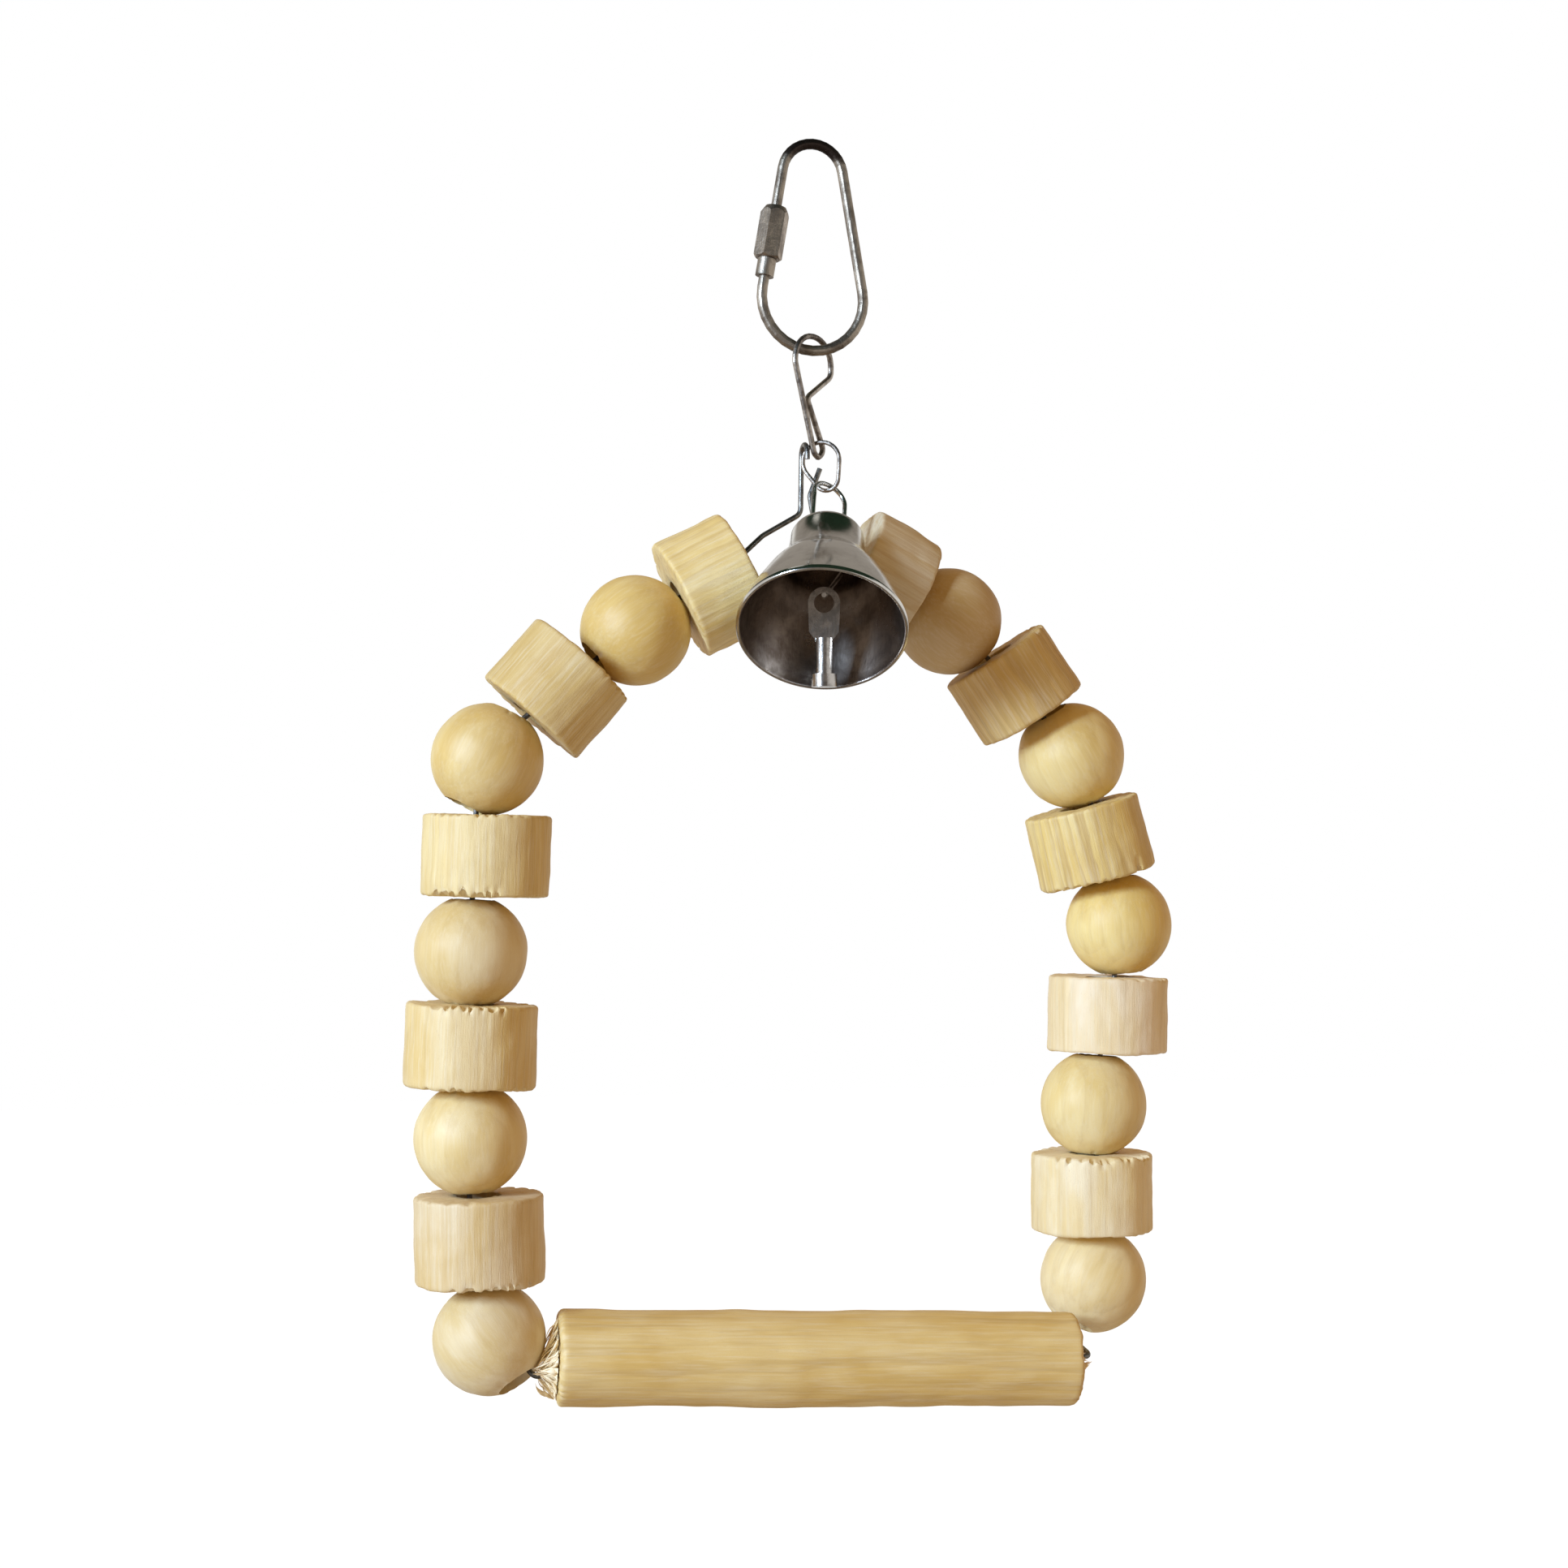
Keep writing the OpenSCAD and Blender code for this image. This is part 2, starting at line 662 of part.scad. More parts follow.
module bell_loop() {
  leg_foot = -bell_drop - bell_h * loop_foot_share;
  hang = [0, 0, -clapper_drop];
  color(nickel)
    in_bell()
      bent_wire([
        [[-loop_leg.x, -loop_leg.y, leg_foot], 0],
        [[-loop_leg.x, -loop_leg.y, loop_rise], loop_half_w * loop_bend_share],
        [[loop_leg.x, loop_leg.y, loop_rise], loop_half_w * loop_bend_share],
        [[loop_leg.x, loop_leg.y, -clapper_drop * loop_turn_in_share], loop_wire_d],
        [hang - front_in_bell * tab_t * pin_ends_shares[0], loop_wire_d * pin_bend_share],
        [hang + front_in_bell * tab_t * pin_ends_shares[1], 0],
      ], loop_r, [1, 0, 0]);
}

clapper_at = ring_bottom + clapper_drop
  * turned([-sin(bell_roll) * cos(bell_tilt), -sin(bell_tilt), -cos(bell_roll) * cos(bell_tilt)], bell_turn);

module clapper() {
  color(nickel)
    translate(clapper_at)
      rotate([0, 0, bell_turn]) {
        rotate([90, 0, 0])
          translate([0, 0, -tab_t / 2])
            linear_extrude(tab_t)
              difference() {
                union() {
                  hull() {
                    translate([0, -hole_drop])
                      circle(d = tab_w);
                    translate([0, tab_mid])
                      square([tab_w * tab_waist_share, rod_sink], center = true);
                    translate([0, -tab_h])
                      square([rod_d, rod_sink], center = true);
                  }
                  translate([-rod_d / 2, -tab_h - rod_sink])
                    square([rod_d, tab_w / 2]);
                }
                translate([0, -hole_drop])
                  circle(r = hole_r);
              }
        translate([0, 0, -clapper_len])
          cylinder(h = clapper_len - tab_h, d = rod_d);
        translate([0, 0, -clapper_len])
          cylinder(h = striker_len, d = striker_d);
      }
}

quick_link();
quick_link_nut();
upper_chain_link();
lower_chain_link();
arch_wire();
perch();
bell();
bell_loop();
clapper();
for (side = [0, 1], i = [1 : beads_a_side]) {
  ball(side, i);
  block(side, i);
}
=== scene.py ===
import json
import math
import random
import bmesh
import bpy
from mathutils import Matrix, Vector


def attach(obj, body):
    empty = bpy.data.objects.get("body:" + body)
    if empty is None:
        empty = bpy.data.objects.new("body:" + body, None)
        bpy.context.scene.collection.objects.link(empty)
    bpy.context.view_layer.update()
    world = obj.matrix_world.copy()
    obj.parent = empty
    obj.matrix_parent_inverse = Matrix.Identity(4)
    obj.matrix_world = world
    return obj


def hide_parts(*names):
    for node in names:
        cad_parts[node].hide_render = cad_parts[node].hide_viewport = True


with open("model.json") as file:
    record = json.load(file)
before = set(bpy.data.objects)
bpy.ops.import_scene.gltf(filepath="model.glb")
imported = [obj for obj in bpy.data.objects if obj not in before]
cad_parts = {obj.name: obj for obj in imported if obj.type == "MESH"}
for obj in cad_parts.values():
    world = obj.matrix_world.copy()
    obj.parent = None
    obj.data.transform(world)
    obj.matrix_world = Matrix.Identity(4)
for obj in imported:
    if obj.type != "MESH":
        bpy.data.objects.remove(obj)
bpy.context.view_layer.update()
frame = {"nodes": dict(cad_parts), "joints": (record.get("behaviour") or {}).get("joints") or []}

scene = bpy.context.scene
scene.view_settings.view_transform = "Standard"
mm = 0.001
nodes = frame["nodes"]
spins = {joint["child"]: joint for joint in frame["joints"]}
print("frame loaded:", len(nodes), "nodes")


# camera, at the photograph's angle
viewLook = {"azimuth": -15, "elevation": -2, "distance": 0.45, "target": (-0.0056, 0, -0.1199), "lens": 55.43}


def addCamera(look):
    turn, rise = math.radians(look["azimuth"]), math.radians(look["elevation"])
    away = Vector((math.sin(turn) * math.cos(rise), -math.cos(turn) * math.cos(rise), math.sin(rise)))
    cameraData = bpy.data.cameras.new("photoCamera")
    camera = bpy.data.objects.new("photoCamera", cameraData)
    scene.collection.objects.link(camera)
    camera.location = Vector(look["target"]) + away * look["distance"]
    camera.rotation_euler = away.to_track_quat("Z", "Y").to_euler()
    cameraData.lens = look["lens"]
    cameraData.sensor_width = 36
    cameraData.clip_start = 0.01
    cameraData.clip_end = 50
    scene.camera = camera


addCamera(viewLook)


# node helpers
def rampStops(ramp, stops):
    points = ramp.color_ramp.elements
    while len(points) > 1:
        points.remove(points[-1])
    points[0].position = stops[0][0]
    points[0].color = (*stops[0][1], 1)
    for place, colour in stops[1:]:
        points.new(place).color = (*colour, 1)
    return ramp


def newFinish(name):
    finish = bpy.data.materials.new(name)
    finish.use_nodes = True
    return finish, finish.node_tree, finish.node_tree.nodes["Principled BSDF"]


def mathNode(tree, operation, first, second=None, third=None):
    made = tree.nodes.new("ShaderNodeMath")
    made.operation = operation
    for i, value in enumerate((first, second, third)):
        if value is None:
            continue
        if isinstance(value, (int, float)):
            made.inputs[i].default_value = value
        else:
            tree.links.new(value, made.inputs[i])
    return made.outputs[0]


def mixColours(tree, share, first, second):
    made = tree.nodes.new("ShaderNodeMix")
    made.data_type = "RGBA"
    for socket, value in ((made.inputs[0], share), (made.inputs[6], first), (made.inputs[7], second)):
        if isinstance(value, (int, float)):
            socket.default_value = value
        elif isinstance(value, tuple):
            socket.default_value = (*value, 1)
        else:
            tree.links.new(value, socket)
    return made.outputs[2]


def scaled(tree, value, share):
    return mathNode(tree, "MULTIPLY", value, share)


def noiseNode(tree, vector, scale, detail=4, roughness=0.5, distortion=0):
    made = tree.nodes.new("ShaderNodeTexNoise")
    made.inputs["Scale"].default_value = scale
    made.inputs["Detail"].default_value = detail
    made.inputs["Roughness"].default_value = roughness
    made.inputs["Distortion"].default_value = distortion
    tree.links.new(vector, made.inputs["Vector"])
    return made.outputs["Fac"]


def stretched(tree, vector, shares, shift=(0, 0, 0)):
    made = tree.nodes.new("ShaderNodeMapping")
    made.inputs["Scale"].default_value = shares
    made.inputs["Location"].default_value = shift
    tree.links.new(vector, made.inputs["Vector"])
    return made.outputs["Vector"]


# bare wood: growth rings round a pith beside the piece, fibres along its length,
# pores, warm blotches, and paler torn places
def woodFinish(name, frameOfPiece, look):
    finish, tree, shader = newFinish(name)
    place = tree.nodes.new("ShaderNodeTexCoord")
    along = tree.nodes.new("ShaderNodeMapping")
    along.vector_type = "TEXTURE"
    along.inputs["Location"].default_value = frameOfPiece.to_translation()
    along.inputs["Rotation"].default_value = frameOfPiece.to_euler()
    along.inputs["Scale"].default_value = (mm, mm, mm)
    tree.links.new(place.outputs["Object"], along.inputs["Vector"])
    local = along.outputs["Vector"]
    seed = look["seed"]

    wobble = tree.nodes.new("ShaderNodeTexNoise")
    wobble.inputs["Scale"].default_value = 0.09
    wobble.inputs["Detail"].default_value = 3
    tree.links.new(stretched(tree, local, (1, 1, 0.35), (seed, seed * 2, seed)), wobble.inputs["Vector"])
    shifted = tree.nodes.new("ShaderNodeVectorMath")
    shifted.operation = "MULTIPLY_ADD"
    tree.links.new(wobble.outputs["Color"], shifted.inputs[0])
    shifted.inputs[1].default_value = (look["wobble"],) * 3
    tree.links.new(stretched(tree, local, (1, 1, 0), look["pith"]), shifted.inputs[2])
    length = tree.nodes.new("ShaderNodeVectorMath")
    length.operation = "LENGTH"
    tree.links.new(shifted.outputs[0], length.inputs[0])
    ring = mathNode(tree, "FRACT", mathNode(tree, "DIVIDE", length.outputs["Value"], look["ringWidth"]))
    rings = rampStops(tree.nodes.new("ShaderNodeValToRGB"), [
        (0, (0, 0, 0)), (0.45, (0.12,) * 3), (0.82, (0.75,) * 3), (0.93, (1, 1, 1)), (1, (0.1,) * 3)])
    tree.links.new(ring, rings.inputs[0])

    fibres = noiseNode(tree, stretched(tree, local, (2.2, 2.2, 0.09), (seed * 3, 0, 0)), 1, 6, 0.62)
    streaks = noiseNode(tree, stretched(tree, local, (0.5, 0.5, 0.02), (0, seed, 0)), 1, 4, 0.55)
    pores = noiseNode(tree, stretched(tree, local, (9, 9, 0.7), (0, 0, seed)), 1, 2, 0.5)
    blotch = noiseNode(tree, stretched(tree, local, (0.11, 0.11, 0.05), (seed, 0, seed)), 1, 3, 0.5, 0.4)
    speckle = noiseNode(tree, local, 4.5, 3, 0.6)

    pale = tuple(channel * share for channel, share in zip(look["tone"], look["paler"]))
    warm = tuple(channel * share for channel, share in zip(look["tone"], look["warmer"]))
    base = mixColours(tree, blotchRamp(tree, blotch, 0.36, 0.68), pale, warm)
    streaked = blotchRamp(tree, streaks, look["streakFrom"], look["streakFrom"] + 0.22)
    streakShare = scaled(tree, streaked, look["streak"])
    base = mixColours(tree, streakShare, base, look["streakColour"])
    ringShare = scaled(tree, rings.outputs[0], look["ring"])
    base = mixColours(tree, ringShare, base, look["ringColour"])
    fibreShare = scaled(tree, blotchRamp(tree, fibres, 0.42, 0.7), look["fibre"])
    base = mixColours(tree, fibreShare, base, look["fibreColour"])
    poreShare = scaled(tree, blotchRamp(tree, pores, 0.64, 0.74), look["pore"])
    base = mixColours(tree, poreShare, base, look["poreColour"])
    speckShare = scaled(tree, blotchRamp(tree, speckle, 0.45, 0.65), look["speck"])
    base = mixColours(tree, speckShare, base, warm)
    torn = tree.nodes.new("ShaderNodeAttribute")
    torn.attribute_name = "torn"
    base = mixColours(tree, scaled(tree, torn.outputs["Fac"], look["tornShare"]), base, look["tornColour"])
    tree.links.new(base, shader.inputs["Base Color"])

    rough = mathNode(tree, "MULTIPLY_ADD", fibres, 0.22, look["roughness"] - 0.1)
    tree.links.new(rough, shader.inputs["Roughness"])
    shader.inputs["Specular IOR Level"].default_value = look["sheen"]
    grain = mathNode(tree, "ADD", scaled(tree, fibres, 0.7), scaled(tree, pores, -0.35))
    grain = mathNode(tree, "ADD", grain, scaled(tree, speckle, 0.25))
    bump = tree.nodes.new("ShaderNodeBump")
    bump.inputs["Strength"].default_value = look["bump"]
    bump.inputs["Distance"].default_value = 0.0003
    tree.links.new(grain, bump.inputs["Height"])
    tree.links.new(bump.outputs[0], shader.inputs["Normal"])
    return finish


def blotchRamp(tree, value, low, high):
    made = tree.nodes.new("ShaderNodeMapRange")
    made.interpolation_type = "SMOOTHSTEP"
    made.inputs["From Min"].default_value = low
    made.inputs["From Max"].default_value = high
    tree.links.new(value, made.inputs["Value"])
    return made.outputs["Result"]


# dull steel wire: brownish grey with darker stains, fine scratches and soft dents, and where asked a painted
# dark reflection over the top
def steelFinish(name, look):
    finish, tree, shader = newFinish(name)
    place = tree.nodes.new("ShaderNodeTexCoord").outputs["Object"]
    stain = noiseNode(tree, place, look["stainScale"], 5, 0.6, 0.3)
    fine = noiseNode(tree, place, 5200, 4, 0.6)
    scratch = noiseNode(tree, stretched(tree, place, (2600, 2600, 320)), 1, 3, 0.55)
    colour = mixColours(tree, blotchRamp(tree, stain, 0.38, 0.64), look["light"], look["dark"])
    colour = mixColours(tree, scaled(tree, blotchRamp(tree, scratch, 0.5, 0.68), 0.35), colour, look["light"])
    colour = mixColours(tree, scaled(tree, blotchRamp(tree, fine, 0.55, 0.7), 0.2), colour, look["dark"])
    # painted reflection: the metal above a given height is darkened to stand in for the dark room it would
    # reflect there
    if "paintedDarkTopFrom" in look:
        height = tree.nodes.new("ShaderNodeSeparateXYZ")
        tree.links.new(place, height.inputs[0])
        wander = mathNode(tree, "MULTIPLY_ADD", stain, 0.006, height.outputs["Z"])
        paintedDarkTopShare = blotchRamp(tree, wander, look["paintedDarkTopFrom"], look["paintedDarkTopFrom"] + look["paintedDarkTopFade"])
        colour = mixColours(tree, paintedDarkTopShare, colour, look["paintedDarkTopColour"])
    tree.links.new(colour, shader.inputs["Base Color"])
    shader.inputs["Metallic"].default_value = 1
    rough = mathNode(tree, "MULTIPLY_ADD", stain, look["roughSpread"], look["roughness"])
    tree.links.new(rough, shader.inputs["Roughness"])
    bump = tree.nodes.new("ShaderNodeBump")
    bump.inputs["Strength"].default_value = look["bump"]
    bump.inputs["Distance"].default_value = 0.00012
    dents = mathNode(tree, "ADD", scratch, scaled(tree, stain, 2.5))
    tree.links.new(dents, bump.inputs["Height"])
    tree.links.new(bump.outputs[0], shader.inputs["Normal"])
    return finish


steelLooks = {
    # the quick link gets a painted dark reflection across its top, above height 0
    "linkSteel": {"light": (0.4, 0.335, 0.265), "dark": (0.19, 0.15, 0.115), "stainScale": 260,
                  "paintedDarkTopFrom": 0, "paintedDarkTopFade": 0.002, "paintedDarkTopColour": (0.05, 0.035, 0.028),
                  "roughness": 0.32, "roughSpread": 0.3, "bump": 0.5},
    "nutSteel": {"light": (0.42, 0.35, 0.28), "dark": (0.24, 0.195, 0.155), "stainScale": 420,
                 "roughness": 0.3, "roughSpread": 0.3, "bump": 0.55},
    "chainSteel": {"light": (0.46, 0.4, 0.34), "dark": (0.19, 0.155, 0.13), "stainScale": 500,
                   "roughness": 0.26, "roughSpread": 0.3, "bump": 0.45},
    "archSteel": {"light": (0.26, 0.24, 0.21), "dark": (0.12, 0.11, 0.1), "stainScale": 600,
                  "roughness": 0.26, "roughSpread": 0.3, "bump": 0.4},
    "loopNickel": {"light": (0.78, 0.77, 0.75), "dark": (0.5, 0.48, 0.46), "stainScale": 500,
                   "roughness": 0.08, "roughSpread": 0.2, "bump": 0.2},
    "bellNickel": {"light": (0.68, 0.66, 0.62), "dark": (0.5, 0.475, 0.44), "stainScale": 150,
                   "roughness": 0.07, "roughSpread": 0.16, "bump": 0.08},
    # the bell's inside is a darker, browner copy of the bell nickel: painted shade in the hollow
    "bellInsidePaintedShade": {"light": (0.5, 0.43, 0.37), "dark": (0.26, 0.21, 0.175), "stainScale": 190,
                   "roughness": 0.2, "roughSpread": 0.2, "bump": 0.2},
    "clapperSteel": {"light": (0.5, 0.47, 0.44), "dark": (0.28, 0.26, 0.24), "stainScale": 400,
                     "roughness": 0.14, "roughSpread": 0.26, "bump": 0.25},
}
steels = {name: steelFinish(name, look) for name, look in steelLooks.items()}


def wear(obj, *finishes):
    obj.data.materials.clear()
    for finish in finishes:
        obj.data.materials.append(finish)


for nodeName, finishName in {
    "quick_link": "linkSteel", "quick_link_nut": "nutSteel", "upper_chain_link": "chainSteel",
    "lower_chain_link": "chainSteel", "arch_wire": "archSteel", "bell_loop": "loopNickel",
    "bell": "bellNickel", "clapper": "clapperSteel",
}.items():
    wear(nodes[nodeName], steels[finishName])
print("metal finishes done")


# modelling helpers
def deselect():
    if bpy.context.object and bpy.context.object.mode != "OBJECT":
        bpy.ops.object.mode_set(mode="OBJECT")
    bpy.ops.object.select_all(action="DESELECT")


def pick(piece):
    deselect()
    piece.select_set(True)
    bpy.context.view_layer.objects.active = piece


def editMode():
    bpy.ops.object.mode_set(mode="EDIT")


def objectMode():
    bpy.ops.object.mode_set(mode="OBJECT")


def named(name):
    piece = bpy.context.object
    piece.name = name
    piece.data.name = name
    return piece


def selectEdges(piece, test):
    bpy.ops.mesh.select_mode(type="EDGE")
    bpy.ops.mesh.select_all(action="DESELECT")
    mesh = bmesh.from_edit_mesh(piece.data)
    for edge in mesh.edges:
        edge.select = test(edge)
    bmesh.update_edit_mesh(piece.data)


def selectFaces(piece, test):
    bpy.ops.mesh.select_mode(type="FACE")
    bpy.ops.mesh.select_all(action="DESELECT")
    mesh = bmesh.from_edit_mesh(piece.data)
    mesh.normal_update()
    for face in mesh.faces:
        face.select = test(face)
    bmesh.update_edit_mesh(piece.data)


def reach(vertex):
    return math.hypot(vertex.co.x, vertex.co.y)


def rise(edge):
    return abs(edge.verts[0].co.z - edge.verts[1].co.z)


def sameEnd(edge):
    return edge.verts[0].co.z * edge.verts[1].co.z > 0


# a frame with local Z along a direction, and local -Y looking to the front
def frameAlong(place, direction):
    up = Vector(direction).normalized()
    back = (Vector((0, 1, 0)) - up * up.y).normalized()
    turn = Matrix((back.cross(up), back, up)).transposed().to_4x4()
    return Matrix.Translation(Vector(place)) @ turn


def pieceFrame(body):
    return frameAlong(spins[body]["pos_m"], spins[body]["axis"])


# length, outer radius and hole radius of a drilled piece, read from its solid
def measured(nodeName, placed):
    inverse = placed.inverted()
    spots = [inverse @ vertex.co for vertex in nodes[nodeName].data.vertices]
    spans = [math.hypot(spot.x, spot.y) for spot in spots]
    heights = [spot.z for spot in spots]
    return max(heights) - min(heights), max(spans), min(spans)


def addWeights(piece, name, weigh):
    group = piece.vertex_groups.new(name=name)
    values = []
    for vertex in piece.data.vertices:
        value = max(0, min(1, weigh(vertex.co)))
        values.append(value)
        if value > 0:
            group.add([vertex.index], value, "REPLACE")
    return values


def guide(placed, shares):
    empty = bpy.data.objects.new("reliefGuide", None)
    scene.collection.objects.link(empty)
    empty.location = placed
    empty.scale = shares
    bpy.context.view_layer.update()
    return empty


# pushes the surface in and out along its normals, or along Z, by a soft noise
def relief(piece, size, strength, shift=(0, 0, 0), shares=(1, 1, 1), group="", direction="NORMAL"):
    noise = bpy.data.textures.new("reliefNoise", "CLOUDS")
    noise.noise_scale = size
    noise.noise_depth = 2
    empty = guide(shift, shares)
    push = piece.modifiers.new("relief", "DISPLACE")
    push.texture = noise
    push.texture_coords = "OBJECT"
    push.texture_coords_object = empty
    push.strength = strength
    push.mid_level = 0.5
    push.direction = direction
    push.vertex_group = group
    pick(piece)
    bpy.ops.object.modifier_apply(modifier=push.name)
    bpy.data.objects.remove(empty)
    bpy.data.textures.remove(noise)


def sink(piece, group, depth, direction="NORMAL"):
    push = piece.modifiers.new("sink", "DISPLACE")
    push.direction = direction
    push.strength = -depth
    push.mid_level = 0
    push.vertex_group = group
    pick(piece)
    bpy.ops.object.modifier_apply(modifier=push.name)


# puts a finished piece in its place, with the place in its mesh
def setDown(piece, placed, body, slotName, *replaced):
    piece.matrix_world = placed
    pick(piece)
    bpy.ops.object.transform_apply(location=True, rotation=True, scale=True)
    for group in list(piece.vertex_groups):
        piece.vertex_groups.remove(group)
    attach(piece, body)
    if replaced:
        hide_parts(*replaced)


# a cylinder drilled along its length, with eased rims and rows of vertices to shape
def drilledRod(name, length, radius, bore, sides, rows, easing):
    deselect()
    bpy.ops.mesh.primitive_cylinder_add(vertices=sides, radius=radius, depth=length, end_fill_type="NGON")
    piece = named(name)
    editMode()
    selectFaces(piece, lambda face: abs(face.normal.z) > 0.9)
    for i in range(4):
        bpy.ops.mesh.inset(thickness=(radius - bore) / 4)
    bpy.ops.mesh.bridge_edge_loops()
    half = length / 2
    rim = lambda vertex: reach(vertex) > radius * 0.98 and abs(vertex.co.z) > half * 0.98
    selectEdges(piece, lambda edge: all(map(rim, edge.verts)) and sameEnd(edge))
    bpy.ops.mesh.bevel(offset=easing, segments=3, profile=0.5, affect="EDGES")
    selectEdges(piece, lambda edge: rise(edge) > half and reach(edge.verts[0]) > radius * 0.9)
    bpy.ops.mesh.subdivide_edgering(number_cuts=rows, interpolation="LINEAR")
    selectEdges(piece, lambda edge: rise(edge) > half and reach(edge.verts[0]) < bore * 1.2)
    bpy.ops.mesh.subdivide_edgering(number_cuts=6, interpolation="LINEAR")
    holeEdge = lambda vertex: reach(vertex) < bore * 1.06 and abs(vertex.co.z) > half * 0.98
    selectEdges(piece, lambda edge: all(map(holeEdge, edge.verts)) and sameEnd(edge))
    bpy.ops.mesh.bevel(offset=easing * 0.5, segments=2, affect="EDGES")
    bpy.ops.mesh.select_all(action="SELECT")
    bpy.ops.mesh.normals_make_consistent(inside=False)
    objectMode()
    return piece


def endWeigher(half, startShare):
    return lambda spot: (abs(spot.z) / half - startShare) / (1 - startShare)


# keeps the torn places for the wood finish, which pales them
def markTorn(piece, torn):
    mark = piece.data.attributes.new("torn", "FLOAT", "POINT")
    mark.data.foreach_set("value", torn)


# torn fibres: short gouges that run in from a sawn end
def tornWeigher(radius, half, gouges):
    def weigh(spot):
        outward = (math.hypot(spot.x, spot.y) / radius - 0.8) / 0.16
        if outward < 0:
            return 0
        angle = math.atan2(spot.y, spot.x)
        total = 0
        for end, place, width, length, depth in gouges:
            along = half - spot.z * end
            if along > length:
                continue
            off = abs((angle - place + math.pi) % (2 * math.pi) - math.pi) * radius / width
            if off < 1:
                total += depth * (1 - off) * (1 - max(0, along) / length) ** 0.7
        return total * min(1, outward)
    return weigh


# draws the rim in along the piece where the gouges meet it, so the sawn edge is ragged
def notch(piece, radius, half, gouges, depth):
    for end in (1, -1):
        weigh = tornWeigher(radius, half, [gouge for gouge in gouges if gouge[0] == end])
        name = "notches" + str(end)
        addWeights(piece, name, lambda spot: weigh(spot) * max(0, 1 - (half - spot.z * end) / (depth * 1.4)))
        sink(piece, name, depth * end, "Z")


def gougesFor(chance, runs):
    made = []
    for end, fromAngle, toAngle, count, longest, deepest in runs:
        for i in range(count):
            angle = math.radians(fromAngle + (toAngle - fromAngle) * (i + chance.uniform(0.1, 0.9)) / count)
            made.append((end, angle, chance.uniform(0.45, 0.95) * mm,
                         longest * chance.uniform(0.35, 1) * mm, deepest * chance.uniform(0.4, 1)))
    return made


# blocks: end (1 top, -1 bottom), angles in degrees (-90 is the front, 0 the right),
# how many gouges, their longest run in mm and their deepest share of a millimetre
blockLooks = {
    "left_block_1": {"tone": (0.7, 0.57, 0.32), "ring": 0.16, "streak": 0.35, "torn": [
        (-1, -125, -45, 9, 2.4, 1), (-1, 0, 180, 10, 1.6, 0.6),
        (1, -150, -100, 3, 1.2, 0.4), (1, 20, 200, 12, 1.4, 0.5)]},
    "left_block_2": {"tone": (0.75, 0.61, 0.3), "ring": 0.18, "streak": 0.4, "torn": [
        (1, -140, -65, 10, 2.2, 1), (-1, -140, -40, 9, 1.2, 0.5), (1, 0, 150, 10, 1.2, 0.5)]},
    "left_block_3": {"tone": (0.74, 0.6, 0.27), "ring": 0.22, "streak": 0.45, "torn": [
        (-1, -150, -85, 10, 2.4, 1), (1, -160, -60, 10, 1.2, 0.5), (-1, 20, 160, 10, 1.5, 0.6)]},
    "left_block_4": {"tone": (0.66, 0.52, 0.22), "ring": 0.35, "streak": 0.6, "torn": [
        (1, -70, -10, 6, 1.6, 0.6), (-1, 30, 190, 10, 1.2, 0.5)]},
    "left_block_5": {"tone": (0.78, 0.65, 0.3), "ring": 0.32, "streak": 0.65, "trim": 0.6, "torn": [
        (-1, 10, 180, 10, 1.4, 0.5)]},
    "right_block_1": {"tone": (0.86, 0.76, 0.47), "ring": 0.12, "streak": 0.25, "trim": 0.6, "torn": [
        (1, -150, -35, 11, 2.6, 1), (1, -102, -94, 1, 4.4, 1),
        (-1, -120, -40, 7, 1, 0.5), (1, 20, 150, 10, 1.6, 0.5)]},
    "right_block_2": {"tone": (0.9, 0.81, 0.58), "ring": 0.14, "streak": 0.35, "torn": [
        (1, -100, -20, 6, 0.9, 0.4), (-1, 0, 150, 10, 1.2, 0.5)]},
    "right_block_3": {"tone": (0.79, 0.64, 0.25), "ring": 0.55, "streak": 0.9, "torn": [
        (-1, -70, -60, 1, 4.4, 1), (-1, -160, -90, 7, 1.3, 0.6), (1, 0, 160, 10, 1.2, 0.5)]},
    "right_block_4": {"tone": (0.66, 0.5, 0.2), "ring": 0.5, "streak": 0.85, "torn": [
        (1, -60, 20, 7, 1.6, 0.8), (-1, 20, 190, 10, 1.2, 0.5)]},
    "right_block_5": {"tone": (0.62, 0.55, 0.37), "ring": 0.35, "streak": 0.5, "torn": [
        (-1, 30, 190, 8, 1.2, 0.4)]},
}
blockShape = {
    "sides": 192, "rows": 30, "easing": 0.6 * mm, "trim": 0.25, "narrower": 0.15 * mm, "endShare": 0.72,
    "notchDepth": 1.5 * mm, "gougeDepth": 1 * mm, "pithAway": (14, 30),
}
woodBase = {
    "paler": (1.08, 1.06, 1.12), "warmer": (0.97, 0.86, 0.66), "streakFrom": 0.48,
    "streakColour": (0.54, 0.36, 0.12), "ringColour": (0.5, 0.32, 0.11), "fibreColour": (0.88, 0.83, 0.66),
    "fibre": 0.28, "pore": 0.26, "poreColour": (0.38, 0.24, 0.11), "speck": 0.1,
    "tornColour": (0.9, 0.84, 0.66), "tornShare": 0.75,
    "roughness": 0.56, "sheen": 0.55, "bump": 0.42, "wobble": 5, "ringWidth": 2.4,
}


